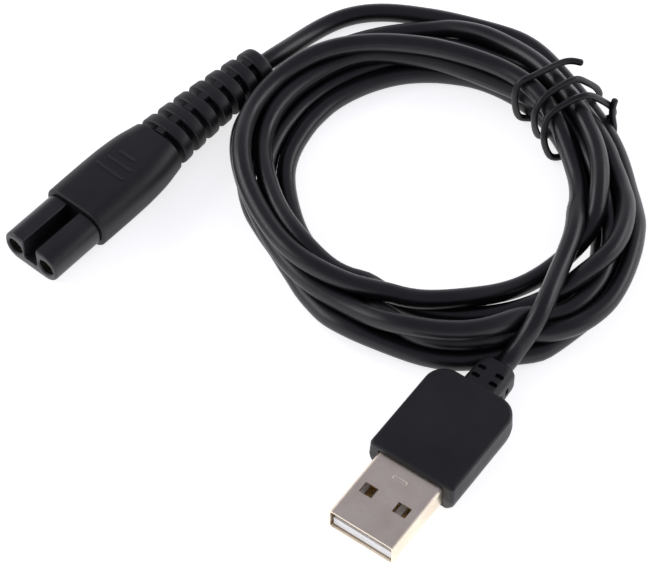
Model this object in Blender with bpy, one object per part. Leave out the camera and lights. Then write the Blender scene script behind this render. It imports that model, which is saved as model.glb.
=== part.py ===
"""Charging lead for a beard trimmer: a two-pole trimmer connector with a ribbed strain relief,
a coiled two-core cord held by a twist tie, and a USB-A plug with a short slotted boot.

Frame: +Z up, table at z = 0, origin at the middle of the box of the two plugs, on the table.
Each plug is built in its own frame, whose origin is on its flex axis: +Y runs into the cord,
-Y runs out of the plug's tip and +X runs across it.
"""

from math import cos, exp, pi, radians, sin

import bmesh
import bpy
from mathutils import Matrix, Vector

MM = 0.001
GAP = 0.3 * MM

# Where the pieces lie
CONNECTOR_PIVOT = (-8.8 * MM, 39.76 * MM, 3.9 * MM)
CONNECTOR_TURN = -40.2
USB_PIVOT = (37.6 * MM, -18.54 * MM, 3.3 * MM)
USB_TURN = -35.8
COIL_CENTRE = (29.35 * MM, 22.1 * MM)

# Cord and coil
CORD_RADIUS = 1.65 * MM
COIL_INNER = 23.0 * MM
# Outer radius every 30 degrees, anticlockwise from +X
COIL_EDGE = (35.0, 35.2, 35.2, 35.2, 35.0, 35.2, 33.6, 30.4, 31.6, 35.0, 37.2, 36.9)
COIL_HEIGHT = 6.2 * MM
COIL_EDGE_HEIGHT = 3.1 * MM
COIL_TOP_INSET = 5.0 * MM
COIL_STEPS = 48

# Twist tie round the coil
TIE_AZIMUTH = 34.0
TIE_RADIUS = 0.6 * MM
TIE_CLEARANCE = 0.45 * MM
TIE_WRAPS = 3
TIE_STEPS = 24
TIE_PITCH = 11.0
PINCH_WIDTH = 24.0
PINCH_LIFT = 2.2 * MM
PINCH_RISE = 1.0 * MM
PINCH_SQUEEZE = 0.9 * MM

# Trimmer connector, along its own axis
NOSE_TIP = -44.0 * MM
HOUSING_FRONT = -33.2 * MM
HOUSING_WAIST = -21.0 * MM
HOUSING_REAR = -12.6 * MM
BOOT_MOUTH = 12.6 * MM
NOSE_WIDTH = 11.6 * MM
NOSE_HEIGHT = 6.0 * MM
NOSE_CORNER = 2.6 * MM
TENON_WIDTH = 11.0 * MM
TENON_HEIGHT = 5.4 * MM
TENON_CORNER = 2.4 * MM
TENON_REAR = -26.0 * MM
MOULD_REAR = -16.7 * MM
HOUSING_WIDTH = 13.0 * MM
HOUSING_REAR_WIDTH = 10.8 * MM
HOUSING_HEIGHT = 7.8 * MM
HOUSING_CORNER = 3.2 * MM
SOCKET_OFFSET = 3.5 * MM
SOCKET_BORE = 1.55 * MM
KEY_WIDTH = 2.8 * MM
KEY_DEPTH = 4.2 * MM
SLEEVE_FRONT = -42.8 * MM
SLEEVE_REAR = -27.0 * MM
SLEEVE_RADIUS = 1.25 * MM
SLEEVE_BORE = 1.0 * MM
LEAF_ROOT = -28.5 * MM
LEAF_LENGTH = 9.5 * MM
LEAF_DROP = -0.6 * MM
LEAF_RISE = 3.0
CRIMP_REAR = -23.5 * MM
WIRE_RADIUS = 0.45 * MM
WIRE_CHANNEL = 0.8 * MM
RIB_COUNT = 7
RIB_PITCH = 3.54 * MM
RIB_THICKNESS = 2.3 * MM
RIB_STEPS = 24
BOOT_BEND = 6.0

# USB-A plug, along its own axis
BOOT_END = 3.0 * MM
COVER_REAR = -3.0 * MM
COVER_FRONT = -22.3 * MM
COVER_WIDTH = 16.0 * MM
COVER_HEIGHT = 6.6 * MM
COVER_CORNER = 3.6 * MM
SHELL_FRONT = -35.5 * MM
SHELL_REAR = -17.0 * MM
SHELL_WIDTH = 12.0 * MM
SHELL_HEIGHT = 4.5 * MM
SHELL_WALL = 0.3 * MM
WINDOW_WIDTH = 2.5 * MM
WINDOW_LENGTH = 2.0 * MM
WINDOW_OFFSET = 3.1 * MM
WINDOW_FROM_FRONT = 6.5 * MM
TONGUE_TOP = 0.05 * MM
CONTACT_WIDTH = 1.0 * MM
CONTACT_THICKNESS = 0.3 * MM
OUTER_CONTACT = 3.5 * MM
INNER_CONTACT = 1.0 * MM


def clear_scene():
    for obj in list(bpy.data.objects):
        bpy.data.objects.remove(obj, do_unlink=True)


def make_material(name, colour, roughness, metallic=0.0):
    material = bpy.data.materials.new(name)
    material.use_nodes = True
    shader = material.node_tree.nodes["Principled BSDF"]
    shader.inputs["Base Color"].default_value = (*colour, 1.0)
    shader.inputs["Roughness"].default_value = roughness
    shader.inputs["Metallic"].default_value = metallic
    return material


def make_frame(name, place, turn):
    """An empty that carries the pieces of one plug."""
    empty = bpy.data.objects.new(name, None)
    empty.location = place
    empty.rotation_euler = (0.0, 0.0, radians(turn))
    bpy.context.collection.objects.link(empty)
    return empty


def add_object(name, bm, material, parent=None, smooth=40.0):
    """Links the mesh as an object with one material, its faces pointing out."""
    bmesh.ops.recalc_face_normals(bm, faces=bm.faces)
    mesh = bpy.data.meshes.new(name)
    bm.to_mesh(mesh)
    bm.free()
    mesh.shade_smooth()
    mesh.set_sharp_from_angle(angle=radians(smooth))
    mesh.materials.append(material)
    obj = bpy.data.objects.new(name, mesh)
    obj.parent = parent
    bpy.context.collection.objects.link(obj)
    return obj


def cut(obj, cutter):
    """Takes the cutter away from the object, and hides the cutter."""
    modifier = obj.modifiers.new("cut_" + cutter.name, "BOOLEAN")
    modifier.operation = "DIFFERENCE"
    modifier.object = cutter
    cutter.hide_render = True
    cutter.display_type = "WIRE"


def add_side(bm, rings, closed=False):
    """Quads between neighbouring rings of vertices."""
    pairs = zip(rings, rings[1:] + rings[:1]) if closed else zip(rings, rings[1:])
    for low, high in pairs:
        count = len(low)
        for i in range(count):
            j = (i + 1) % count
            bm.faces.new((low[i], low[j], high[j], high[i]))


def loft(sections):
    """A closed solid through the sections, with flat ends."""
    bm = bmesh.new()
    rings = [[bm.verts.new(point) for point in section] for section in sections]
    add_side(bm, rings)
    bm.faces.new(rings[0])
    bm.faces.new(rings[-1])
    return bm


def sleeve(outer, inner):
    """A tube with a wall: outer and inner sections from front to rear."""
    bm = bmesh.new()
    rings = [[bm.verts.new(point) for point in section] for section in outer + inner[::-1]]
    add_side(bm, rings, closed=True)
    return bm


def block(bm, low, high):
    """Adds a box between two corners."""
    size = Vector(high) - Vector(low)
    centre = (Vector(high) + Vector(low)) / 2
    bmesh.ops.create_cube(bm, size=1.0, matrix=Matrix.Translation(centre) @ Matrix.Diagonal((*size, 1.0)))


def make_block(name, low, high, material, parent):
    bm = bmesh.new()
    block(bm, low, high)
    return add_object(name, bm, material, parent)


def rounded_section(y, width, height, corner, steps=4, centre=(0.0, 0.0)):
    """A rounded rectangle across the axis at y, anticlockwise from its right side."""
    points = []
    corners = ((1, 1, 0.0), (-1, 1, 90.0), (-1, -1, 180.0), (1, -1, 270.0))
    for side, up, start in corners:
        cx = centre[0] + side * (width / 2 - corner)
        cz = centre[1] + up * (height / 2 - corner)
        for step in range(steps + 1):
            angle = radians(start + 90.0 * step / steps)
            points.append(Vector((cx + corner * cos(angle), y, cz + corner * sin(angle))))
    return points


def round_section(y, radius, steps=12, centre=(0.0, 0.0)):
    angles = (2 * pi * i / steps for i in range(steps))
    return [Vector((centre[0] + radius * cos(a), y, centre[1] + radius * sin(a))) for a in angles]


def add_rod(bm, y0, y1, radius, x=0.0, z=0.0, steps=16):
    """Adds a closed cylinder along the axis."""
    rings = [[bm.verts.new(p) for p in round_section(y, radius, steps, (x, z))] for y in (y0, y1)]
    add_side(bm, rings)
    bm.faces.new(rings[0])
    bm.faces.new(rings[1])


def smooth_curve(points, per_span):
    """Points along a smooth curve through the route's own points."""
    route = [Vector(p) for p in points]
    padded = [2 * route[0] - route[1]] + route + [2 * route[-1] - route[-2]]
    curve = []
    for a, b, c, d in zip(padded, padded[1:], padded[2:], padded[3:]):
        for step in range(per_span):
            t = step / per_span
            bend = (2 * a - 5 * b + 4 * c - d) * t * t + (3 * b - a - 3 * c + d) * t * t * t
            curve.append(b + 0.5 * ((c - a) * t + bend))
    return curve + [route[-1]]


def tube(points, radius, steps=8):
    """A closed solid round a line of points, with square ends."""
    bm = bmesh.new()
    rings = []
    side = None
    for i, point in enumerate(points):
        ahead = points[min(i + 1, len(points) - 1)] - points[max(i - 1, 0)]
        ahead.normalize()
        side = ahead.orthogonal() if side is None else side - side.dot(ahead) * ahead
        side.normalize()
        other = ahead.cross(side)
        angles = (2 * pi * k / steps for k in range(steps))
        rings.append([bm.verts.new(point + radius * (cos(a) * side + sin(a) * other)) for a in angles])
    add_side(bm, rings)
    bm.faces.new(rings[0])
    bm.faces.new(rings[-1])
    return bm


def cord_curve(name, points, radius, material):
    """A free stretch of cord: a poly curve with a round bevel and filled ends."""
    data = bpy.data.curves.new(name, "CURVE")
    data.dimensions = "3D"
    data.bevel_depth = radius
    data.bevel_resolution = 2
    data.use_fill_caps = True
    spline = data.splines.new("POLY")
    spline.points.add(len(points) - 1)
    for place, point in zip(spline.points, points):
        place.co = (*point, 1.0)
    data.materials.append(material)
    obj = bpy.data.objects.new(name, data)
    bpy.context.collection.objects.link(obj)
    return obj


# ---- Trimmer connector -------------------------------------------------------------------------


def nose_insert(frame, material):
    """Hard insert with two socket bores and the key groove on top."""
    shoulder = HOUSING_FRONT - GAP
    sections = [
        rounded_section(NOSE_TIP, NOSE_WIDTH - 0.5 * MM, NOSE_HEIGHT - 0.5 * MM, NOSE_CORNER - 0.25 * MM),
        rounded_section(NOSE_TIP + 0.3 * MM, NOSE_WIDTH, NOSE_HEIGHT, NOSE_CORNER),
        rounded_section(shoulder, NOSE_WIDTH, NOSE_HEIGHT, NOSE_CORNER),
        rounded_section(shoulder, TENON_WIDTH, TENON_HEIGHT, TENON_CORNER),
        rounded_section(TENON_REAR, TENON_WIDTH, TENON_HEIGHT, TENON_CORNER),
    ]
    insert = add_object("nose_insert", loft(sections), material, frame)
    bores = bmesh.new()
    for side in (-1, 1):
        add_rod(bores, NOSE_TIP - MM, TENON_REAR + MM, SOCKET_BORE, side * SOCKET_OFFSET)
    cut(insert, add_object("socket_bores", bores, material, frame))
    groove_floor = NOSE_HEIGHT / 2 - KEY_DEPTH
    low = (-KEY_WIDTH / 2, NOSE_TIP - MM, groove_floor)
    high = (KEY_WIDTH / 2, shoulder + 0.2 * MM, NOSE_HEIGHT)
    cut(insert, make_block("key_groove", low, high, material, frame))


def housing_sections():
    """Outer shape of the overmoulded housing, from front to rear."""
    spans = (
        (HOUSING_FRONT, 12.8, 7.4, 3.0),
        (HOUSING_FRONT + 0.4 * MM, 13.0, 7.8, 3.2),
        (HOUSING_WAIST, 13.0, 7.8, 3.2),
        (-17.2 * MM, 12.3, 7.8, 3.4),
        (-14.2 * MM, 11.2, 7.7, 3.6),
        (HOUSING_REAR - 0.5 * MM, 10.8, 7.6, 3.7),
        (HOUSING_REAR, 10.2, 7.0, 3.4),
    )
    return [rounded_section(y, w * MM, h * MM, r * MM, 5) for y, w, h, r in spans]


def connector_housing(frame, material):
    """Soft overmould: a wall round the insert and the inner mould, with a hole for the cord."""
    housing = add_object("connector_housing", loft(housing_sections()), material, frame)
    wide = (TENON_WIDTH + 2 * GAP, TENON_HEIGHT + 2 * GAP, TENON_CORNER + GAP)
    cavity = [
        rounded_section(HOUSING_FRONT - MM, *wide),
        rounded_section(TENON_REAR, *wide),
        rounded_section(MOULD_REAR + GAP, 9.1 * MM, 5.6 * MM, 2.3 * MM),
    ]
    cut(housing, add_object("housing_cavity", loft(cavity), material, frame))
    hole = bmesh.new()
    add_rod(hole, -17.0 * MM, HOUSING_REAR + MM, CORD_RADIUS + GAP)
    cut(housing, add_object("housing_cord_hole", hole, material, frame))


def connector_wire_route(side):
    """Middle of one core, from its crimp to the end of the jacket."""
    route = (
        (3.5, -26.2, 0.0),
        (3.5, -24.5, 0.0),
        (3.4, -22.8, 0.0),
        (2.4, -20.3, 0.0),
        (1.2, -18.2, 0.0),
        (0.75, -16.6, 0.0),
    )
    return smooth_curve([(side * x * MM, y * MM, z * MM) for x, y, z in route], 3)


def connector_inner_mould(frame, material):
    """Inner mould behind the insert, with channels for the crimps and the cores."""
    sections = [
        rounded_section(TENON_REAR + GAP, TENON_WIDTH, TENON_HEIGHT, TENON_CORNER),
        rounded_section(MOULD_REAR, 8.5 * MM, 5.0 * MM, 2.0 * MM),
    ]
    mould = add_object("connector_inner_mould", loft(sections), material, frame)
    for side, name in ((-1, "left"), (1, "right")):
        pocket = bmesh.new()
        add_rod(pocket, -27.0 * MM, -23.1 * MM, 1.45 * MM, side * SOCKET_OFFSET)
        cut(mould, add_object("crimp_pocket_" + name, pocket, material, frame))
        route = connector_wire_route(side)
        route.append(Vector((route[-1].x, -15.0 * MM, 0.0)))
        channel = tube(route, WIRE_CHANNEL)
        cut(mould, add_object("core_channel_" + name, channel, material, frame))


def split_sleeve(name, x, y0, y1, radius, bore, slot, material, frame, steps=14):
    """A tube with a slot along its top, as rolled contacts and crimps have."""
    sections = []
    for y in (y0, y1):
        section = []
        for r, order in ((radius, 1), (bore, -1)):
            angles = [90.0 + slot / 2 + (360.0 - slot) * i / steps for i in range(steps + 1)]
            for angle in angles[::order]:
                section.append(Vector((x + r * cos(radians(angle)), y, r * sin(radians(angle)))))
        sections.append(section)
    return add_object(name, loft_split(sections), material, frame)


def loft_split(sections):
    """A straight C-shaped solid whose ends are strips of quads."""
    bm = bmesh.new()
    rings = [[bm.verts.new(point) for point in section] for section in sections]
    add_side(bm, rings)
    half = len(rings[0]) // 2
    for ring in rings:
        for i in range(half - 1):
            bm.faces.new((ring[i], ring[i + 1], ring[-i - 2], ring[-i - 1]))
    return bm


def contact_leaf(name, side, frame, material):
    """Spring leaf inside a socket. Its own origin is at its root, where it flexes."""
    root = bpy.data.objects.new(name + "_root", None)
    root.location = (side * SOCKET_OFFSET, LEAF_ROOT, LEAF_DROP)
    root.parent = frame
    bpy.context.collection.objects.link(root)
    slope = sin(radians(LEAF_RISE))
    half_width = 0.35 * MM
    half_thickness = 0.08 * MM
    sections = []
    for along in (0.0, 0.5, 0.9, 1.0):
        length = along * LEAF_LENGTH
        lift = length * slope - (0.15 * MM if along == 1.0 else 0.0)
        corners = ((1, -1), (1, 1), (-1, 1), (-1, -1))
        places = [(s * half_width, -length, lift + u * half_thickness) for s, u in corners]
        sections.append([Vector(p) for p in places])
    add_object(name, loft(sections), material, root)


def boot_bend(point):
    """Carries a point of the straight boot onto its gently bent axis."""
    along = point.y - HOUSING_REAR
    length = BOOT_MOUTH - HOUSING_REAR
    radius = length / radians(BOOT_BEND)
    angle = along / radius
    x = radius - (radius - point.x) * cos(angle)
    y = HOUSING_REAR + (radius - point.x) * sin(angle)
    return Vector((x, y, point.z))


def rib_size(along):
    """Width and height of the boot at a share of its length."""
    width = 10.6 + (7.2 - 10.6) * along
    height = 7.5 + (7.0 - 7.5) * along
    return width * MM, height * MM


def boot_section(y, scale, web):
    """A cross section of the boot. In a slot the core is small, but webs stand up top and bottom."""
    along = (y - HOUSING_REAR) / (BOOT_MOUTH - HOUSING_REAR)
    width, height = rib_size(along)
    points = []
    for i in range(RIB_STEPS):
        angle = 2 * pi * (i + 0.5) / RIB_STEPS
        on_web = web and abs(cos(angle)) < 0.2
        share = 0.96 if on_web else scale
        points.append(Vector((width / 2 * share * cos(angle), y, height / 2 * share * sin(angle))))
    return [boot_bend(point) for point in points]


def connector_boot(frame, material):
    """Ribbed strain relief: seven ribs on a thin core, with slots between them."""
    sections = [boot_section(HOUSING_REAR + GAP, 0.6, True)]
    for rib in range(RIB_COUNT):
        start = HOUSING_REAR + 1.15 * MM + rib * RIB_PITCH
        end = start + RIB_THICKNESS
        last = rib == RIB_COUNT - 1
        end = BOOT_MOUTH if last else end
        sections.append(boot_section(start, 0.6, True))
        sections.append(boot_section(start, 0.93, False))
        sections.append(boot_section(start + 0.35 * MM, 1.0, False))
        sections.append(boot_section(end - 0.35 * MM, 1.0, False))
        sections.append(boot_section(end, 0.93 if not last else 0.85, False))
        if not last:
            sections.append(boot_section(end, 0.6, True))
    add_object("connector_boot", loft(sections), material, frame)


def trimmer_connector(materials):
    frame = make_frame("connector_frame", CONNECTOR_PIVOT, CONNECTOR_TURN)
    nose_insert(frame, materials["black_plastic"])
    connector_housing(frame, materials["black_pvc"])
    connector_inner_mould(frame, materials["natural_plastic"])
    for side, name, wire in ((-1, "left", "black"), (1, "right", "red")):
        x = side * SOCKET_OFFSET
        brass = materials["brass"]
        sleeve_sizes = (SLEEVE_FRONT, SLEEVE_REAR, SLEEVE_RADIUS, SLEEVE_BORE, 36.0)
        split_sleeve("socket_sleeve_" + name, x, *sleeve_sizes, brass, frame)
        crimp_sizes = (SLEEVE_REAR + GAP, CRIMP_REAR, 1.15 * MM, 0.8 * MM, 30.0)
        split_sleeve("crimp_" + name, x, *crimp_sizes, brass, frame)
        contact_leaf("contact_leaf_" + name, side, frame, materials["spring_bronze"])
        core = tube(connector_wire_route(side), WIRE_RADIUS)
        add_object("connector_core_" + wire, core, materials["wire_" + wire], frame)
    jacket = bmesh.new()
    add_rod(jacket, -16.2 * MM, HOUSING_REAR - 0.2 * MM, CORD_RADIUS)
    add_object("connector_jacket_end", jacket, materials["black_pvc"], frame)
    connector_boot(frame, materials["black_pvc"])
    return frame


# ---- USB-A plug --------------------------------------------------------------------------------


def cover_outline(z, inset):
    """Plan of the cover at a height: small front corners, large rear corners."""
    half = COVER_WIDTH / 2 - inset
    front = COVER_FRONT + inset
    rear = COVER_REAR - inset
    small = 0.6 * MM
    large = COVER_CORNER - inset
    points = []
    corners = ((1, rear, large, 0.0), (-1, rear, large, 90.0), (-1, front, small, 180.0), (1, front, small, 270.0))
    for side, end, corner, start in corners:
        inward = -1 if end == rear else 1
        for step in range(5):
            angle = radians(start + 22.5 * step)
            x = side * (half - corner) + corner * cos(angle)
            y = end + inward * corner + corner * sin(angle)
            points.append(Vector((x, y, z)))
    return points


def usb_cover(frame, material):
    """Overmoulded cover with a pocket for the shell and a hole for the cord."""
    half = COVER_HEIGHT / 2
    levels = ((-half, 1.1), (-half + 1.1 * MM, 0.0), (half - 0.4 * MM, 0.0), (half, 0.4))
    outlines = [cover_outline(z, inset * MM) for z, inset in levels]
    cover = add_object("usb_cover", loft(outlines), material, frame)
    pocket_width = SHELL_WIDTH / 2 + GAP
    pocket_height = SHELL_HEIGHT / 2 + GAP
    low = (-pocket_width, COVER_FRONT - MM, -pocket_height)
    high = (pocket_width, -6.0 * MM, pocket_height)
    cut(cover, make_block("cover_pocket", low, high, material, frame))
    hole = bmesh.new()
    add_rod(hole, -7.0 * MM, COVER_REAR + MM, CORD_RADIUS + GAP)
    cut(cover, add_object("cover_cord_hole", hole, material, frame))


def usb_boot(frame, material):
    """Short strain relief with a pair of slots in each of its four sides."""
    sections = [
        rounded_section(COVER_REAR + GAP, 6.6 * MM, 5.8 * MM, 1.4 * MM, 3),
        rounded_section(BOOT_END - 0.8 * MM, 6.2 * MM, 5.6 * MM, 1.5 * MM, 3),
        rounded_section(BOOT_END, 5.0 * MM, 4.6 * MM, 1.4 * MM, 3),
    ]
    boot = add_object("usb_boot", loft(sections), material, frame)
    slots = bmesh.new()
    floor = 2.0 * MM
    reach = 4.0 * MM
    half = 0.65 * MM
    for start in (-1.9, 0.1):
        y0 = start * MM
        y1 = y0 + 0.9 * MM
        for up in (-1, 1):
            low, high = sorted((up * floor, up * reach))
            block(slots, (-half, y0, low), (half, y1, high))
            low, high = sorted((up * (floor + 0.3 * MM), up * reach))
            block(slots, (low, y0, -half), (high, y1, half))
    cut(boot, add_object("boot_slots", slots, material, frame))


def usb_shell(frame, material):
    """Folded steel shell with two windows above and two below."""
    outer = [rounded_section(y, SHELL_WIDTH, SHELL_HEIGHT, 0.7 * MM) for y in (SHELL_FRONT, SHELL_REAR)]
    inner_width = SHELL_WIDTH - 2 * SHELL_WALL
    inner_height = SHELL_HEIGHT - 2 * SHELL_WALL
    inner = [rounded_section(y, inner_width, inner_height, 0.4 * MM) for y in (SHELL_FRONT, SHELL_REAR)]
    shell = add_object("usb_shell", sleeve(outer, inner), material, frame, smooth=20.0)
    windows = bmesh.new()
    middle = SHELL_FRONT + WINDOW_FROM_FRONT
    for side in (-1, 1):
        x = side * WINDOW_OFFSET
        low = (x - WINDOW_WIDTH / 2, middle - WINDOW_LENGTH / 2, -SHELL_HEIGHT)
        high = (x + WINDOW_WIDTH / 2, middle + WINDOW_LENGTH / 2, SHELL_HEIGHT)
        block(windows, low, high)
    cut(shell, add_object("shell_windows", windows, material, frame))


def contact_places():
    """Name, offset across and front end of each contact."""
    long_front = SHELL_FRONT + 1.2 * MM
    short_front = SHELL_FRONT + 2.2 * MM
    return (
        ("usb_contact_power", OUTER_CONTACT, long_front),
        ("usb_contact_data_minus", INNER_CONTACT, short_front),
        ("usb_contact_data_plus", -INNER_CONTACT, short_front),
        ("usb_contact_ground", -OUTER_CONTACT, long_front),
    )


def usb_tongue(frame, material):
    """Insulator: a flat tongue in the lower half of the shell and a full block behind it."""
    bottom = -1.65 * MM
    top = 1.65 * MM
    half = 5.4 * MM
    bm = bmesh.new()
    profile = (
        (SHELL_FRONT + 0.5 * MM, bottom),
        (-17.3 * MM, bottom),
        (-17.3 * MM, top),
        (-21.5 * MM, top),
        (-21.5 * MM, TONGUE_TOP),
        (SHELL_FRONT + 0.5 * MM, TONGUE_TOP),
    )
    rings = [[bm.verts.new((x, y, z)) for y, z in profile] for x in (-half, half)]
    add_side(bm, rings)
    bm.faces.new(rings[0])
    bm.faces.new(rings[1])
    tongue = add_object("usb_tongue", bm, material, frame)
    grooves = bmesh.new()
    for name, x, front in contact_places():
        reach = CONTACT_WIDTH / 2 + 0.2 * MM
        low = (x - reach, front - 0.3 * MM, TONGUE_TOP - 0.45 * MM)
        high = (x + reach, -16.0 * MM, TONGUE_TOP + 0.4 * MM)
        block(grooves, low, high)
    cut(tongue, add_object("contact_grooves", grooves, material, frame))


def usb_core_route(side):
    """Middle of one core, from its solder joint to the end of the jacket."""
    route = (
        (3.5, -14.0, 0.5),
        (3.4, -12.6, 0.45),
        (2.6, -10.4, 0.3),
        (1.3, -8.2, 0.1),
        (0.8, -6.2, 0.0),
    )
    return smooth_curve([(side * x * MM, y * MM, z * MM) for x, y, z in route], 3)


def usb_inner_mould(frame, material):
    """Inner mould behind the shell, with a pocket for the joints and channels for the cores."""
    low = (-6.0 * MM, SHELL_REAR + GAP, -2.25 * MM)
    high = (6.0 * MM, -6.3 * MM, 2.25 * MM)
    mould = make_block("usb_inner_mould", low, high, material, frame)
    low = (-4.8 * MM, -18.0 * MM, -0.7 * MM)
    high = (4.8 * MM, -13.4 * MM, 1.5 * MM)
    cut(mould, make_block("joint_pocket", low, high, material, frame))
    for side, name in ((-1, "left"), (1, "right")):
        route = usb_core_route(side)
        route.append(Vector((route[-1].x, -5.0 * MM, 0.0)))
        channel = add_object("usb_core_channel_" + name, tube(route, WIRE_CHANNEL), material, frame)
        cut(mould, channel)


def solder_joint(name, side, frame, material):
    """A bead of solder on a contact's tail."""
    bm = bmesh.new()
    bmesh.ops.create_uvsphere(bm, u_segments=10, v_segments=6, radius=1.0)
    size = Matrix.Diagonal((0.55 * MM, 0.65 * MM, 0.35 * MM, 1.0))
    place = Matrix.Translation((side * OUTER_CONTACT, -15.0 * MM, 0.75 * MM))
    bmesh.ops.transform(bm, matrix=place @ size, verts=bm.verts)
    add_object(name, bm, material, frame)


def usb_plug(materials):
    frame = make_frame("usb_frame", USB_PIVOT, USB_TURN)
    usb_cover(frame, materials["black_pvc"])
    usb_boot(frame, materials["black_pvc"])
    usb_shell(frame, materials["nickel"])
    usb_tongue(frame, materials["grey_plastic"])
    for name, x, front in contact_places():
        low = (x - CONTACT_WIDTH / 2, front, TONGUE_TOP - 0.25 * MM)
        high = (x + CONTACT_WIDTH / 2, -14.2 * MM, TONGUE_TOP - 0.25 * MM + CONTACT_THICKNESS)
        make_block(name, low, high, materials["gold"], frame)
    usb_inner_mould(frame, materials["natural_plastic"])
    for side, wire in ((-1, "black"), (1, "red")):
        core = tube(usb_core_route(side), WIRE_RADIUS)
        add_object("usb_core_" + wire, core, materials["wire_" + wire], frame)
        solder_joint("solder_joint_" + wire, side, frame, materials["solder"])
    jacket = bmesh.new()
    add_rod(jacket, -5.9 * MM, COVER_REAR - 0.2 * MM, CORD_RADIUS)
    add_object("usb_jacket_end", jacket, materials["black_pvc"], frame)
    return frame


# ---- Cord --------------------------------------------------------------------------------------


def pinch(azimuth):
    """1 at the tie, fading to 0 where the coil lies free."""
    away = (azimuth - TIE_AZIMUTH + 180.0) % 360.0 - 180.0
    return exp(-((away / PINCH_WIDTH) ** 2))


def coil_edge(azimuth):
    """Outer radius of the coil, on a smooth curve through its stations."""
    place = (azimuth % 360.0) / 360.0 * len(COIL_EDGE)
    first = int(place)
    t = place - first
    a, b, c, d = (COIL_EDGE[(first + i) % len(COIL_EDGE)] for i in (-1, 0, 1, 2))
    bend = (2 * a - 5 * b + 4 * c - d) * t * t + (3 * b - a - 3 * c + d) * t * t * t
    return (b + 0.5 * ((c - a) * t + bend)) * MM


def coil_sides(azimuth):
    """Inner and outer radius of the coil, drawn together where the tie holds it."""
    squeeze = PINCH_SQUEEZE * pinch(azimuth)
    return COIL_INNER + squeeze, coil_edge(azimuth) - squeeze


def coil_profile(azimuth):
    """Corners of the coil's cross section as (radius, height), anticlockwise."""
    lift = PINCH_LIFT * pinch(azimuth)
    inner, outer = coil_sides(azimuth)
    top = COIL_HEIGHT + PINCH_RISE * pinch(azimuth)
    return (
        (inner + 1.0 * MM, lift),
        (outer - 1.0 * MM, lift),
        (outer, lift + 1.0 * MM),
        (outer, lift + COIL_EDGE_HEIGHT - 0.9 * MM),
        (outer - 1.0 * MM, lift + COIL_EDGE_HEIGHT),
        (outer - COIL_TOP_INSET, top),
        (inner + 1.6 * MM, top),
        (inner, top - 1.6 * MM),
        (inner, lift + 1.0 * MM),
    )


def on_coil(azimuth, radius, height):
    angle = radians(azimuth)
    return Vector((COIL_CENTRE[0] + radius * cos(angle), COIL_CENTRE[1] + radius * sin(angle), height))


def cord_coil(material):
    """The coiled turns as one closed ring, narrower and lifted where the tie holds them."""
    bm = bmesh.new()
    rings = []
    for step in range(COIL_STEPS):
        azimuth = 360.0 * step / COIL_STEPS
        places = [on_coil(azimuth, radius, height) for radius, height in coil_profile(azimuth)]
        rings.append([bm.verts.new(place) for place in places])
    add_side(bm, rings, closed=True)
    add_object("cord_coil", bm, material, smooth=50.0)


def superellipse(share):
    """A point of a rounded box of half size 1 by 1, at a share of the way round."""
    angle = 2 * pi * share
    across = abs(cos(angle)) ** 0.5 * (1 if cos(angle) > 0 else -1)
    up = abs(sin(angle)) ** 0.5 * (1 if sin(angle) > 0 else -1)
    return across, up


def tie_route():
    """Wraps round the bundle, spread along it, with both ends over its outer edge."""
    points = []
    for step in range(TIE_WRAPS * TIE_STEPS + 1):
        wraps = step / TIE_STEPS
        azimuth = TIE_AZIMUTH + TIE_PITCH * (2 * wraps / TIE_WRAPS - 1)
        across, up = superellipse(wraps + 0.17)
        inner, outer = coil_sides(azimuth)
        radius = (inner + outer) / 2 + across * ((outer - inner) / 2 + TIE_CLEARANCE + TIE_RADIUS)
        bottom = PINCH_LIFT * pinch(azimuth)
        top = COIL_HEIGHT + PINCH_RISE * pinch(azimuth)
        height = (bottom + top) / 2 + up * ((top - bottom) / 2 + TIE_CLEARANCE + TIE_RADIUS)
        points.append(on_coil(azimuth, radius, height))
    return points


def twist_tie(material):
    cord_curve("twist_tie", tie_route(), TIE_RADIUS, material)


def in_world(place, turn, point):
    """A point of a plug's own frame, in the object's frame."""
    return Vector(place) + Matrix.Rotation(radians(turn), 3, "Z") @ Vector(point)


def connector_lead_route():
    """Route of the cord from the connector's boot to its place beside the coil."""
    mouth = boot_bend(Vector((0.0, BOOT_MOUTH + GAP, 0.0)))
    ahead = boot_bend(Vector((0.0, BOOT_MOUTH + GAP + 1.5 * MM, 0.0)))
    ends = [in_world(CONNECTOR_PIVOT, CONNECTOR_TURN, point) for point in (mouth, ahead)]
    route = (
        (5.8, 54.2, 3.0),
        (8.9, 57.8, 2.2),
        (12.7, 60.8, 1.8),
        (16.7, 62.6, 1.7),
        (21.0, 63.2, 1.7),
        (26.4, 62.6, 1.7),
        (32.0, 61.2, 1.7),
        (37.6, 59.6, 1.7),
        (42.8, 57.6, 1.7),
        (47.4, 55.6, 1.7),
    )
    return ends + [Vector(place) * MM for place in route]


def usb_lead_route():
    """Route of the cord from the top of the coil over its turns to the USB boot."""
    mouth = Vector((0.0, BOOT_END + GAP, 0.0))
    ahead = Vector((0.0, BOOT_END + GAP + 2.0 * MM, 0.0))
    ends = [in_world(USB_PIVOT, USB_TURN, point) for point in (ahead, mouth)]
    route = (
        (52.3, 9.2, 8.2),
        (51.2, 5.4, 8.2),
        (49.7, 1.4, 8.2),
        (48.1, -2.4, 8.2),
        (46.6, -5.9, 8.1),
        (45.1, -8.9, 7.0),
        (43.2, -11.5, 5.3),
    )
    return [Vector(place) * MM for place in route] + ends


def free_leads(material):
    for name, route in (("cord_connector_end", connector_lead_route()), ("cord_usb_end", usb_lead_route())):
        cord_curve(name, smooth_curve(route, 2), CORD_RADIUS, material)


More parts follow.
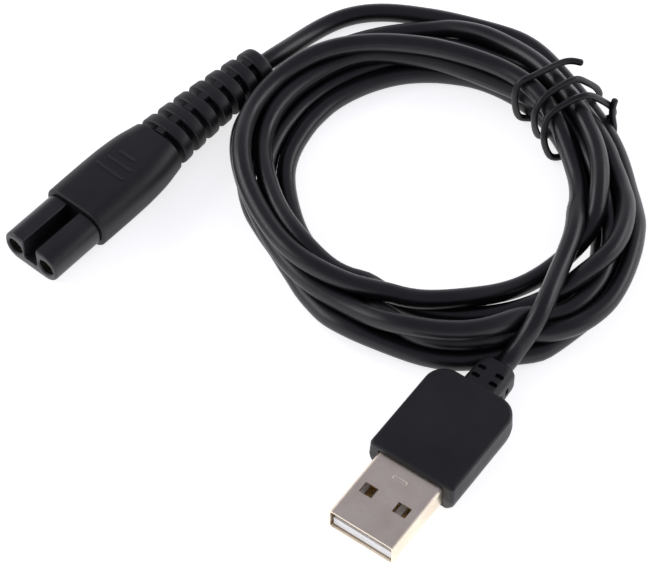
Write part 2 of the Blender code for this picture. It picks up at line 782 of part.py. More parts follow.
def make_materials():
    sizes = {
        "black_pvc": ((0.012, 0.012, 0.014), 0.45, 0.0),
        "black_plastic": ((0.012, 0.012, 0.014), 0.35, 0.0),
        "natural_plastic": ((0.75, 0.74, 0.70), 0.5, 0.0),
        "grey_plastic": ((0.45, 0.46, 0.46), 0.45, 0.0),
        "nickel": ((0.72, 0.69, 0.66), 0.25, 1.0),
        "gold": ((0.83, 0.62, 0.28), 0.3, 1.0),
        "brass": ((0.74, 0.56, 0.27), 0.35, 1.0),
        "spring_bronze": ((0.68, 0.42, 0.24), 0.35, 1.0),
        "solder": ((0.70, 0.70, 0.72), 0.35, 1.0),
        "wire_red": ((0.55, 0.03, 0.03), 0.45, 0.0),
        "wire_black": ((0.02, 0.02, 0.02), 0.45, 0.0),
    }
    return {name: make_material(name, *look) for name, look in sizes.items()}


def main():
    clear_scene()
    materials = make_materials()
    trimmer_connector(materials)
    usb_plug(materials)
    cord_coil(materials["black_pvc"])
    free_leads(materials["black_pvc"])
    twist_tie(materials["black_pvc"])


main()
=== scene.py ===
from math import ceil, cos, hypot, pi, radians, sin

import bmesh
import bpy
import numpy as np
from mathutils import Matrix, Vector


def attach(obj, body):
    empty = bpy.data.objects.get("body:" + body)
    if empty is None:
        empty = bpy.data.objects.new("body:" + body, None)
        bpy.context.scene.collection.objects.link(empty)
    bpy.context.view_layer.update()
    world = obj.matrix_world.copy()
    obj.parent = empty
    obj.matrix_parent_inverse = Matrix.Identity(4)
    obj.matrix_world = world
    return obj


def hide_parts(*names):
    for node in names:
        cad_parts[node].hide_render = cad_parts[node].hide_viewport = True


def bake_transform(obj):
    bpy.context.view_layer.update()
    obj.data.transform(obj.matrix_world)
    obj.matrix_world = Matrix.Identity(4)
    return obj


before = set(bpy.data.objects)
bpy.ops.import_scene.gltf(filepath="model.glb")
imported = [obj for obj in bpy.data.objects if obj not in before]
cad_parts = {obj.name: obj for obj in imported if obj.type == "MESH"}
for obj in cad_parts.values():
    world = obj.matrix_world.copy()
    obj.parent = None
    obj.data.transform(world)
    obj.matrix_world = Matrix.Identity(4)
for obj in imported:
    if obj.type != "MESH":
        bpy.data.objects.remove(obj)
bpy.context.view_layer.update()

# Shapes are worked out in millimetres, and each mesh is put into metres when it is placed.
MM = 0.001

# Where the pieces lie, as in the CAD
CONNECTOR_PLACE = (-8.8, 39.76, 3.9)
CONNECTOR_TURN = -40.2
USB_PLACE = (37.6, -18.54, 3.3)
USB_TURN = -35.8
COIL_CENTRE = (29.35, 22.1)
CORD_RADIUS = 1.65
# How far the cord is out of round, and how fast that turns along it in radians per millimetre
CORD_OVAL = 0.012
OVAL_TWIST = 0.045

# Camera: its height above the table in degrees, its distance and what it looks at
VIEW_ELEVATION = 53.0
VIEW_DISTANCE = 0.4295
VIEW_TARGET = (0.01194, 0.00279, 0.0)
LENS = 142.47


# ---- Mesh helpers ------------------------------------------------------------------------------


def link(name, data):
    obj = bpy.data.objects.new(name, data)
    bpy.context.scene.collection.objects.link(obj)
    return obj


def add_side(bm, rings, closed=False):
    """Quads between neighbouring rings of vertices."""
    pairs = zip(rings, rings[1:] + rings[:1]) if closed else zip(rings, rings[1:])
    for low, high in pairs:
        count = len(low)
        for i in range(count):
            j = (i + 1) % count
            bm.faces.new((low[i], low[j], high[j], high[i]))


def loft(sections):
    """A closed solid through the sections, with flat ends."""
    bm = bmesh.new()
    rings = [[bm.verts.new(point) for point in section] for section in sections]
    add_side(bm, rings)
    bm.faces.new(rings[0])
    bm.faces.new(rings[-1])
    return bm


def ring_loft(sections):
    """A closed solid whose sections come back to the first one, as a tube with a wall does."""
    bm = bmesh.new()
    add_side(bm, [[bm.verts.new(point) for point in section] for section in sections], closed=True)
    return bm


def add_block(bm, low, high):
    size = Vector(high) - Vector(low)
    centre = (Vector(high) + Vector(low)) / 2
    bmesh.ops.create_cube(bm, size=1.0, matrix=Matrix.Translation(centre) @ Matrix.Diagonal((*size, 1.0)))


def mesh_object(name, bm):
    bmesh.ops.recalc_face_normals(bm, faces=bm.faces)
    mesh = bpy.data.meshes.new(name)
    bm.to_mesh(mesh)
    bm.free()
    return link(name, mesh)


def apply_modifiers(obj):
    """Puts the result of the modifiers into the mesh."""
    graph = bpy.context.evaluated_depsgraph_get()
    result = bpy.data.meshes.new_from_object(obj.evaluated_get(graph))
    obj.modifiers.clear()
    obj.data = result


def combine(obj, tools, operation="DIFFERENCE"):
    """Cuts the tools out of the object, or joins them to it, one after another."""
    for tool in tools:
        modifier = obj.modifiers.new("tool", "BOOLEAN")
        modifier.operation = operation
        modifier.solver = "EXACT"
        modifier.object = tool
        apply_modifiers(obj)
        bpy.data.objects.remove(tool, do_unlink=True)


def place(obj, matrix, material, smooth=35.0):
    """Puts a piece made in millimetres where it belongs, in metres, and shades it."""
    obj.data.transform(matrix)
    obj.data.shade_smooth()
    obj.data.set_sharp_from_angle(angle=radians(smooth))
    obj.data.materials.clear()
    obj.data.materials.append(material)
    return obj


def plug_matrix(where, turn):
    return Matrix.Scale(MM, 4) @ Matrix.Translation(where) @ Matrix.Rotation(radians(turn), 4, "Z")


def in_metres(where, turn, point):
    return plug_matrix(where, turn) @ Vector(point)


def rounded_section(y, width, height, corner, steps=8, centre=(0.0, 0.0)):
    """A rounded rectangle across the axis at y, anticlockwise from its right side."""
    points = []
    corners = ((1, 1, 0.0), (-1, 1, 90.0), (-1, -1, 180.0), (1, -1, 270.0))
    for side, up, start in corners:
        cx = centre[0] + side * (width / 2 - corner)
        cz = centre[1] + up * (height / 2 - corner)
        for step in range(steps + 1):
            angle = radians(start + 90.0 * step / steps)
            points.append(Vector((cx + corner * cos(angle), y, cz + corner * sin(angle))))
    return points


def round_section(y, radius, steps=36, centre=(0.0, 0.0)):
    angles = (2 * pi * i / steps for i in range(steps))
    return [Vector((centre[0] + radius * cos(a), y, centre[1] + radius * sin(a))) for a in angles]


def edge_steps(radius, steps=5):
    """(inset, depth) along a rounded edge, from the end face to the side."""
    angles = (radians(90.0 * i / steps) for i in range(steps + 1))
    return [(radius * (1 - sin(a)), radius * (1 - cos(a))) for a in angles]


def smooth_through(points, per_span):
    """Points along a smooth curve through the given ones."""
    p = [np.array(q, float) for q in points]
    padded = [2 * p[0] - p[1]] + p + [2 * p[-1] - p[-2]]
    curve = []
    for a, b, c, d in zip(padded, padded[1:], padded[2:], padded[3:]):
        for k in range(per_span):
            t = k / per_span
            bend = (2 * a - 5 * b + 4 * c - d) * t * t + (3 * b - a - 3 * c + d) * t * t * t
            curve.append(b + 0.5 * ((c - a) * t + bend))
    return np.array(curve + [p[-1]])


def resample(points, step):
    """The same line with points a fixed step apart."""
    along = np.concatenate([[0.0], np.cumsum(np.linalg.norm(np.diff(points, axis=0), axis=1))])
    stations = np.linspace(0.0, along[-1], int(round(along[-1] / step)) + 1)
    return np.stack([np.interp(stations, along, points[:, k]) for k in range(3)], 1)


def tube_rings(points, radius, steps, oval):
    """Rings round a line of points. Each corner has its position, its distance along and its angle."""
    rings = []
    side = None
    travelled = 0.0
    for i, point in enumerate(points):
        before = Vector(points[max(i - 1, 0)])
        ahead = (Vector(points[min(i + 1, len(points) - 1)]) - before).normalized()
        side = ahead.orthogonal() if side is None else side - side.dot(ahead) * ahead
        side.normalize()
        other = ahead.cross(side)
        travelled += (Vector(point) - before).length
        ring = []
        for k in range(steps):
            angle = 2 * pi * k / steps
            r = radius * (1.0 + oval * cos(2 * angle + OVAL_TWIST * travelled))
            ring.append((Vector(point) + r * (cos(angle) * side + sin(angle) * other), travelled, angle))
        rings.append(ring)
    return rings


def add_dome(bm, ring, end, out, rise):
    """Closes a tube's end with a low dome."""
    last = ring
    for angle in (radians(30.0), radians(60.0)):
        new = []
        for vertex in ring:
            new.append(bm.verts.new(end + (vertex.co - end) * cos(angle) + out * rise * sin(angle)))
        add_side(bm, [last, new])
        last = new
    bm.faces.new(last)


def tube_mesh(name, points, radius, steps, end_rise=0.0, oval=0.0):
    """A closed tube round a line. Its mesh keeps the distance along it and the angle round it."""
    bm = bmesh.new()
    along = bm.verts.layers.float.new("along")
    around = bm.verts.layers.float.new("around")
    rings = []
    for ring in tube_rings(points, radius, steps, oval):
        vertices = []
        for position, travelled, angle in ring:
            vertex = bm.verts.new(position)
            vertex[along] = travelled
            vertex[around] = angle
            vertices.append(vertex)
        rings.append(vertices)
    add_side(bm, rings)
    for ring, end, before in ((rings[0], points[0], points[1]), (rings[-1], points[-1], points[-2])):
        if end_rise:
            out = (Vector(end) - Vector(before)).normalized()
            add_dome(bm, ring, Vector(end), out, end_rise)
        else:
            bm.faces.new(ring)
    return mesh_object(name, bm)


# ---- Materials ---------------------------------------------------------------------------------


class Nodes:
    """Short names for building a material's nodes."""

    def __init__(self, name):
        self.material = bpy.data.materials.new(name)
        self.material.use_nodes = True
        self.tree = self.material.node_tree
        self.shader = self.tree.nodes["Principled BSDF"]

    def add(self, kind, **settings):
        node = self.tree.nodes.new(kind)
        for key, value in settings.items():
            setattr(node, key, value)
        return node

    def join(self, out, into):
        self.tree.links.new(out, into)

    def place(self):
        return self.add("ShaderNodeTexCoord").outputs["Object"]

    def noise(self, scale, detail=3.0, roughness=0.5, stretch=None):
        node = self.add("ShaderNodeTexNoise")
        node.inputs["Scale"].default_value = scale
        node.inputs["Detail"].default_value = detail
        node.inputs["Roughness"].default_value = roughness
        source = self.place()
        if stretch:
            mapping = self.add("ShaderNodeMapping")
            mapping.inputs["Scale"].default_value = stretch
            self.join(source, mapping.inputs["Vector"])
            source = mapping.outputs["Vector"]
        self.join(source, node.inputs["Vector"])
        return node.outputs["Fac"]

    def remap(self, value, low, high):
        """Noise is mostly between 0.3 and 0.7: this spreads it over the given values."""
        node = self.add("ShaderNodeMapRange")
        node.inputs["From Min"].default_value = 0.3
        node.inputs["From Max"].default_value = 0.7
        node.inputs["To Min"].default_value = low
        node.inputs["To Max"].default_value = high
        self.join(value, node.inputs["Value"])
        return node.outputs["Result"]

    def two_tone(self, value, dark, light):
        ramp = self.add("ShaderNodeValToRGB")
        ramp.color_ramp.elements[0].position = 0.35
        ramp.color_ramp.elements[0].color = (*dark, 1.0)
        ramp.color_ramp.elements[1].position = 0.65
        ramp.color_ramp.elements[1].color = (*light, 1.0)
        self.join(value, ramp.inputs["Fac"])
        self.join(ramp.outputs["Color"], self.shader.inputs["Base Color"])

    def rough(self, value, low, high):
        self.join(self.remap(value, low, high), self.shader.inputs["Roughness"])

    def bump(self, heights, strength, distance):
        """Bump from the sum of (value, weight) pairs."""
        total = None
        for value, weight in heights:
            scaled = self.add("ShaderNodeMath", operation="MULTIPLY")
            self.join(value, scaled.inputs[0])
            scaled.inputs[1].default_value = weight
            if total is None:
                total = scaled.outputs[0]
                continue
            added = self.add("ShaderNodeMath", operation="ADD")
            self.join(total, added.inputs[0])
            self.join(scaled.outputs[0], added.inputs[1])
            total = added.outputs[0]
        node = self.add("ShaderNodeBump")
        node.inputs["Strength"].default_value = strength
        node.inputs["Distance"].default_value = distance
        self.join(total, node.inputs["Height"])
        self.join(node.outputs["Normal"], self.shader.inputs["Normal"])

    def set(self, **values):
        for key, value in values.items():
            self.shader.inputs[key.replace("_", " ")].default_value = value


def moulded_pvc(name, dark, light, rough, specular=0.5):
    """Black moulded PVC: a fine spark-eroded grain, a soft sheen and faint cloudy handling marks."""
    n = Nodes(name)
    cloud = n.noise(160.0, 4.0, 0.6)
    grain = n.noise(5200.0, 2.0, 0.6)
    n.two_tone(cloud, dark, light)
    n.rough(cloud, rough[0], rough[1])
    n.bump([(grain, 1.0), (cloud, 0.6)], 0.35, 0.00002)
    n.set(Specular_IOR_Level=specular)
    return n.material


def cord_pvc(name):
    """Extruded PVC jacket: faint die lines along its length and a slightly uneven gloss."""
    n = Nodes(name)
    along = n.add("ShaderNodeAttribute", attribute_name="along").outputs["Fac"]
    around = n.add("ShaderNodeAttribute", attribute_name="around").outputs["Fac"]
    spread = n.add("ShaderNodeMath", operation="MULTIPLY")
    n.join(along, spread.inputs[0])
    spread.inputs[1].default_value = 0.004
    turns = n.add("ShaderNodeMath", operation="SINE")
    n.join(around, turns.inputs[0])
    other = n.add("ShaderNodeMath", operation="COSINE")
    n.join(around, other.inputs[0])
    vector = n.add("ShaderNodeCombineXYZ")
    n.join(turns.outputs[0], vector.inputs["X"])
    n.join(other.outputs[0], vector.inputs["Y"])
    n.join(spread.outputs[0], vector.inputs["Z"])
    lines = n.add("ShaderNodeTexNoise")
    lines.inputs["Scale"].default_value = 9.0
    lines.inputs["Detail"].default_value = 3.0
    n.join(vector.outputs[0], lines.inputs["Vector"])
    cloud = n.noise(120.0, 3.0, 0.55)
    n.two_tone(cloud, *CORD_TONES)
    n.rough(cloud, 0.30, 0.38)
    n.bump([(lines.outputs["Fac"], 1.0), (n.noise(4200.0, 2.0, 0.5), 0.35)], 0.3, 0.00003)
    n.set(Specular_IOR_Level=0.5)
    return n.material


def plain_plastic(name, dark, light, rough=(0.35, 0.5), scale=500.0, subsurface=0.0):
    n = Nodes(name)
    cloud = n.noise(scale, 4.0, 0.6)
    n.two_tone(cloud, dark, light)
    n.rough(cloud, rough[0], rough[1])
    n.bump([(n.noise(scale * 6, 2.0, 0.5), 1.0)], 0.3, 0.00002)
    if subsurface:
        n.set(Subsurface_Weight=subsurface, Subsurface_Scale=0.001)
    return n.material


def brushed_metal(name, dark, light, rough, stretch, bump, scale=900.0):
    """Metal with fine drawn lines one way, from the strip it was stamped from."""
    n = Nodes(name)
    lines = n.noise(scale, 4.0, 0.6, stretch)
    cloud = n.noise(220.0, 3.0, 0.5)
    n.two_tone(cloud, dark, light)
    n.rough(lines, rough[0], rough[1])
    n.bump([(lines, 1.0)], bump, 0.000012)
    n.set(Metallic=1.0)
    return n.material


# Two tones of each black, from its darker patches to its lighter ones
PVC_TONES = ((0.0050, 0.0049, 0.0062), (0.0076, 0.0074, 0.0092))
HARD_TONES = ((0.0085, 0.0083, 0.0095), (0.0115, 0.0112, 0.0128))
CORD_TONES = ((0.0036, 0.0036, 0.0046), (0.0058, 0.0057, 0.0070))
TIE_TONES = ((0.0045, 0.0045, 0.0055), (0.0070, 0.0069, 0.0082))


def make_plastics():
    return {
        "moulded": moulded_pvc("pvc_moulded", *PVC_TONES, (0.44, 0.54), 0.42),
        "nose": moulded_pvc("plastic_nose", *HARD_TONES, (0.28, 0.36), 0.5),
        "cord": cord_pvc("pvc_cord"),
        "jacket": moulded_pvc("pvc_jacket", *CORD_TONES, (0.32, 0.40)),
        "tie": moulded_pvc("pvc_tie", *TIE_TONES, (0.36, 0.46), 0.42),
        "natural": plain_plastic(
            "plastic_natural", (0.66, 0.64, 0.58), (0.76, 0.75, 0.70), subsurface=0.2
        ),
        "insulator": plain_plastic(
            "plastic_insulator", (0.80, 0.80, 0.79), (0.88, 0.88, 0.87), (0.3, 0.4)
        ),
        "core_black": plain_plastic("core_black", (0.012, 0.012, 0.012), (0.02, 0.02, 0.02)),
        "core_red": plain_plastic("core_red", (0.42, 0.018, 0.016), (0.55, 0.03, 0.025)),
    }


def make_metals():
    """Each metal: its darker and lighter tone, its roughness and how long its drawn lines are."""
    looks = {
        "shell": ((0.90, 0.77, 0.62), (0.98, 0.87, 0.71), (0.26, 0.34), (1, 1, 9), 0.08),
        "gold": ((0.80, 0.58, 0.24), (0.88, 0.66, 0.32), (0.24, 0.34), (1, 1, 6), 0.25),
        "brass": ((0.66, 0.48, 0.21), (0.76, 0.58, 0.29), (0.28, 0.40), (1, 1, 6), 0.25),
        "bronze": ((0.60, 0.37, 0.20), (0.70, 0.45, 0.26), (0.28, 0.38), (1, 1, 6), 0.25),
        "solder": ((0.60, 0.60, 0.62), (0.72, 0.72, 0.74), (0.28, 0.45), (1, 1, 1), 0.25),
    }
    return {name: brushed_metal("metal_" + name, *look) for name, look in looks.items()}


# ---- Trimmer connector -------------------------------------------------------------------------


def make_nose(matrix, material):
    """Hard insert: two countersunk bores, the key groove with its edges broken, a rounded front rim."""
    sections = []
    for inset, depth in edge_steps(0.45):
        size = (11.6 - 2 * inset, 6.0 - 2 * inset, 2.6 - inset)
        sections.append(rounded_section(-44.0 + depth, *size))
    sections.append(rounded_section(-33.5, 11.6, 6.0, 2.6))
    sections.append(rounded_section(-33.5, 11.0, 5.4, 2.4))
    sections.append(rounded_section(-26.0, 11.0, 5.4, 2.4))
    nose = mesh_object("connector_nose", loft(sections))
    bores = []
    for side in (-1, 1):
        centre = (side * 3.5, 0.0)
        profile = ((-45.0, 1.95), (-44.05, 1.85), (-43.75, 1.55), (-25.0, 1.55))
        bores.append(mesh_object("bore", loft([round_section(y, r, 40, centre) for y, r in profile])))
    floor = -1.2
    groove = []
    for y, flare in ((-45.0, 0.5), (-44.1, 0.32), (-43.75, 0.0), (-33.3, 0.0)):
        half = 1.4 + flare * 0.6
        base = floor - flare * 0.4
        outline = [
            (half, 2.82),
            (half + 0.22, 3.04),
            (half + 0.22, 4.0),
            (-half - 0.22, 4.0),
            (-half - 0.22, 3.04),
            (-half, 2.82),
            (-half, base + 0.25),
            (-half + 0.25, base),
            (half - 0.25, base),
            (half, base + 0.25),
        ]
        groove.append([Vector((x, y, z)) for x, z in outline])
    combine(nose, bores + [mesh_object("groove", loft(groove))])
    return place(nose, matrix, material, 30.0)


HOUSING_STATIONS = (
    (-33.2, 12.9, 7.7, 3.1),
    (-29.0, 13.0, 7.8, 3.2),
    (-24.5, 13.0, 7.8, 3.2),
    (-21.0, 12.85, 7.8, 3.25),
    (-17.2, 12.3, 7.8, 3.4),
    (-14.2, 11.35, 7.7, 3.6),
    (-12.6, 10.8, 7.6, 3.7),
)
# Grip bars on top: place along the housing, left and right end
GRIP_BARS = ((-19.9, -1.95, 1.55), (-21.95, -2.7, 2.6), (-24.1, -3.2, 2.85))


def make_grip_bar(y, left, right):
    """A low half-round bar across the housing's top, sunk into it."""
    top = 3.9
    sections = []
    for x, size in ((left - 0.12, 0.35), (left + 0.1, 1.0), (right - 0.1, 1.0), (right + 0.12, 0.35)):
        section = []
        for k in range(12):
            angle = 2 * pi * k / 12
            section.append(Vector((x, y + 0.3 * size * cos(angle), top - 0.03 + 0.26 * size * sin(angle))))
        sections.append(section)
    return mesh_object("bar", loft(sections))


def make_housing(matrix, material):
    """Soft overmould with a rounded waist, and three low bars across its top for grip."""
    stations = smooth_through(HOUSING_STATIONS, 5)
    outer = []
    for inset, depth in edge_steps(0.4, 4):
        y, w, h, r = stations[0]
        outer.append(rounded_section(y + depth, w - 2 * inset, h - 2 * inset, r - inset, 10))
    for y, w, h, r in stations[1:-1]:
        outer.append(rounded_section(y, w, h, r, 10))
    for inset, depth in reversed(edge_steps(0.6, 4)):
        y, w, h, r = stations[-1]
        outer.append(rounded_section(y - depth, w - 2 * inset, h - 2 * inset, r - inset, 10))
    inner = [
        rounded_section(-12.6, 3.9, 3.9, 1.95, 10),
        rounded_section(-16.5, 3.9, 3.9, 1.95, 10),
        rounded_section(-16.5, 9.1, 5.6, 2.3, 10),
        rounded_section(-26.0, 11.6, 6.0, 2.7, 10),
        rounded_section(-33.2, 11.6, 6.0, 2.7, 10),
    ]
    housing = mesh_object("connector_grip", ring_loft(outer + inner))
    combine(housing, [make_grip_bar(*bar) for bar in GRIP_BARS], "UNION")
    return place(housing, matrix, material, 32.0)


BOOT_FRONT, BOOT_MOUTH = -12.6, 12.6
# Width and height at each end
BOOT_FRONT_SIZE = (10.6, 7.5)
BOOT_MOUTH_SIZE = (7.2, 7.0)
BOOT_SQUARENESS = 2.4
BOOT_BEND = 6.0
RIB_START = 1.15
RIB_PITCH = 3.54
RIB_THICKNESS = 2.3
RIB_COUNT = 7
RIB_EDGE = 0.38
LAST_RIB_EDGE = 0.9
# In a slot: half the webs' width, and the shares of the ribs' size that the core and the webs have
WEB_HALF = 0.8
CORE_SHARE = 0.62
WEB_SHARE = 0.965


def boot_bend(point):
    """Carries a point of the straight boot onto its gently bent axis."""
    radius = (BOOT_MOUTH - BOOT_FRONT) / radians(BOOT_BEND)
    angle = (point[1] - BOOT_FRONT) / radius
    x = radius - (radius - point[0]) * cos(angle)
    y = BOOT_FRONT + (radius - point[0]) * sin(angle)
    return Vector((x, y, point[2]))


def boot_angles(web_edge, core_edge):
    """Directions round the boot, with close pairs where a web meets the core."""
    shallow = [radians(a) for a in (4, 14, 26, 38, 50, 62, 72)]
    own = sorted(shallow + [radians(90.0) - a for a in (core_edge, web_edge, 0.35 * web_edge)])
    mirrored = [radians(90.0) - a for a in reversed(own)]
    angles = []
    for quarter in range(4):
        angles += [a + radians(90.0 * quarter) for a in (mirrored if quarter % 2 else own)]
    return angles


def boot_section(y, inset, slot):
    """A squarish oval across the boot. In a slot only a thin core and two webs are left."""
    along = (y - BOOT_FRONT) / (BOOT_MOUTH - BOOT_FRONT)
    half_width, half_height = ((a + (b - a) * along) / 2 for a, b in zip(BOOT_FRONT_SIZE, BOOT_MOUTH_SIZE))
    web_edge = 0.99 * WEB_HALF / half_width
    core_edge = 1.12 * WEB_HALF / half_width
    points = []
    for angle in boot_angles(web_edge, core_edge):
        c, s = cos(angle), sin(angle)
        share = (abs(c) ** BOOT_SQUARENESS + abs(s) ** BOOT_SQUARENESS) ** (-1 / BOOT_SQUARENESS)
        x, z = half_width * share * c, half_height * share * s
        if not slot:
            size = hypot(x, z)
            x, z = x * (1 - inset / size), z * (1 - inset / size)
        elif abs(c) < web_edge * 1.05:
            z *= WEB_SHARE
        else:
            z *= CORE_SHARE
            x *= 1.0 if abs(c) < core_edge * 1.3 else CORE_SHARE
        points.append(boot_bend((x, y, z)))
    return points


def make_boot(matrix, material):
    """Ribbed strain relief: ribs with rounded edges, joined by a core and by webs above and below."""
    sections = [boot_section(BOOT_FRONT + 0.1, 0.0, True)]
    for rib in range(RIB_COUNT):
        last = rib == RIB_COUNT - 1
        start = BOOT_FRONT + RIB_START + rib * RIB_PITCH
        end = BOOT_MOUTH if last else start + RIB_THICKNESS
        sections.append(boot_section(start, 0.0, True))
        for inset, depth in edge_steps(RIB_EDGE, 4):
            sections.append(boot_section(start + depth, inset, False))
        for inset, depth in reversed(edge_steps(LAST_RIB_EDGE if last else RIB_EDGE, 4)):
            sections.append(boot_section(end - depth, inset, False))
        if not last:
            sections.append(boot_section(end, 0.0, True))
    boot = mesh_object("connector_strain_relief", loft(sections))
    return place(boot, matrix, material, 40.0)


def make_connector(materials):
    matrix = plug_matrix(CONNECTOR_PLACE, CONNECTOR_TURN)
    nose = make_nose(matrix, materials["nose"])
    housing = make_housing(matrix, materials["moulded"])
    boot = make_boot(matrix, materials["moulded"])
    stands = ((nose, "nose_insert", "connector_plastic"), (housing, "connector_housing", "soft_pvc"))
    for piece, node, slot in stands:
        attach(piece, "trimmer_connector")
        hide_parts(node)
    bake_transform(boot)
    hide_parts("connector_boot")


# ---- USB-A plug --------------------------------------------------------------------------------

COVER_FRONT, COVER_REAR = -22.3, -3.0
SHELL_FRONT, SHELL_REAR = -35.5, -17.0


def cover_outline(z, inset, steps=10):
    """Plan of the cover at a height: small front corners, large rear corners."""
    half = 8.0 - inset
    front = COVER_FRONT + min(inset, 0.5)
    rear = COVER_REAR - inset
    small = 0.6
    large = 3.6 - inset * 0.5
    points = []
    corners = (
        (1, rear, large, 0.0),
        (-1, rear, large, 90.0),
        (-1, front, small, 180.0),
        (1, front, small, 270.0),
    )
    for side, end, corner, start in corners:
        inward = -1 if end == rear else 1
        for step in range(steps + 1):
            angle = radians(start + 90.0 * step / steps)
            x = side * (half - corner) + corner * cos(angle)
            y = end + inward * corner + corner * sin(angle)
            points.append(Vector((x, y, z)))
    return points


def make_cover(matrix, material):
    """Overmoulded cover: drafted above and below its parting line, edges rounded."""
    levels = [(-3.3, 1.1), (-3.0, 0.82), (-2.2, 0.35), (-1.2, 0.12), (-0.1, 0.0), (0.15, 0.0), (2.75, 0.12)]
    levels += [(3.3 - depth, 0.12 + inset) for inset, depth in reversed(edge_steps(0.5))]
    cover = mesh_object("usb_grip", loft([cover_outline(z, inset) for z, inset in levels]))
    pocket = bmesh.new()
    add_block(pocket, (-6.08, COVER_FRONT - 1.0, -2.33), (6.08, -6.0, 2.33))
    hole = loft([round_section(y, CORD_RADIUS + 0.3, 32) for y in (-7.0, COVER_REAR + 1.0)])
    combine(cover, [mesh_object("pocket", pocket), mesh_object("hole", hole)])
    return place(cover, matrix, material, 30.0)


def slot_tool(centre, size, corner):
    """A rounded block that cuts one slot from outside, along the given axis of the plug's frame."""
    bm = bmesh.new()
    add_block(bm, [c - s / 2 for c, s in zip(centre, size)], [c + s / 2 for c, s in zip(centre, size)])
    bmesh.ops.bevel(bm, geom=bm.edges, offset=corner, segments=3, affect="EDGES", profile=0.5)
    return mesh_object("slot", bm)


def make_usb_boot(matrix, material):
    """Short strain relief: a tapered rounded block with pairs of slots above, below and at its sides."""
    sections = [
        rounded_section(COVER_REAR - 0.3, 6.6, 5.8, 1.4),
        rounded_section(-0.5, 6.5, 5.75, 1.5),
        rounded_section(1.8, 6.3, 5.65, 1.6),
    ]
    for inset, depth in reversed(edge_steps(0.8, 5)):
        sections.append(rounded_section(3.0 - depth, 6.2 - 2 * inset, 5.6 - 2 * inset, 1.7 - inset * 0.4))
    boot = mesh_object("usb_strain_relief", loft(sections))
    tools = []
    for y in (-1.75, 0.1):
        for up in (-1, 1):
            for side in (-1, 1):
                tools.append(slot_tool((side * 1.65, y, up * 2.9), (1.45, 0.85, 2.0), 0.28))
        for side in (-1, 1):
            tools.append(slot_tool((side * 3.3, y, 0.0), (1.8, 0.85, 1.5), 0.28))
    combine(boot, tools)
    return place(boot, matrix, material, 35.0)


def make_shell(matrix, material):
    """Folded shell: thin walls with rounded folds and lips, two windows above and below, a stamped dimple."""
    outer = []
    for inset, depth in edge_steps(0.12, 3):
        outer.append(rounded_section(SHELL_FRONT + depth, 12.0 - 2 * inset, 4.5 - 2 * inset, 0.7 - inset, 6))
    outer.append(rounded_section(SHELL_REAR, 12.0, 4.5, 0.7, 6))
    inner = [rounded_section(SHELL_REAR, 11.4, 3.9, 0.4, 6), rounded_section(SHELL_FRONT, 11.4, 3.9, 0.4, 6)]
    shell = mesh_object("usb_metal_shell", ring_loft(outer + inner))
    tools = []
    for side in (-1, 1):
        for up in (-1, 1):
            tools.append(slot_tool((side * 3.1, -29.0, up * 2.2), (2.4, 2.05, 1.4), 0.12))
    tools.append(slot_tool((-0.2, -24.8, 2.55), (2.7, 0.9, 0.84), 0.3))
    combine(shell, tools)
    return place(shell, matrix, material, 18.0)


def make_usb(materials):
    matrix = plug_matrix(USB_PLACE, USB_TURN)
    cover = make_cover(matrix, materials["moulded"])
    boot = make_usb_boot(matrix, materials["moulded"])
    shell = make_shell(matrix, materials["shell"])
    for piece, node, slot in ((cover, "usb_cover", "soft_pvc"), (shell, "usb_shell", "nickel_plate")):
        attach(piece, "usb_plug")
        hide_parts(node)
    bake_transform(boot)
    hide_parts("usb_boot")
    return [cover, boot, shell]


# ---- Cord --------------------------------------------------------------------------------------

# Free end from the connector's boot to its place beside the coil
CONNECTOR_LEAD = (
    (5.8, 54.2, 3.0),
    (8.9, 57.8, 2.2),
    (12.7, 60.8, 1.8),
    (16.7, 62.6, 1.7),
    (21.0, 63.2, 1.7),
    (26.4, 62.6, 1.7),
    (32.0, 61.2, 1.7),
    (37.6, 59.6, 1.7),
    (42.8, 57.6, 1.7),
    (47.4, 55.6, 1.7),
)
# Free end from the top of the coil over its turns to the USB boot
USB_LEAD = (
    (53.97, 17.76, 5.6),
    (53.97, 13.14, 6.8),
    (53.0, 9.0, 8.0),
    (51.2, 5.4, 8.2),
    (49.7, 1.4, 8.2),
    (48.1, -2.4, 8.2),
    (46.6, -5.9, 8.1),
    (45.1, -8.9, 7.0),
    (43.2, -11.5, 5.3),
)
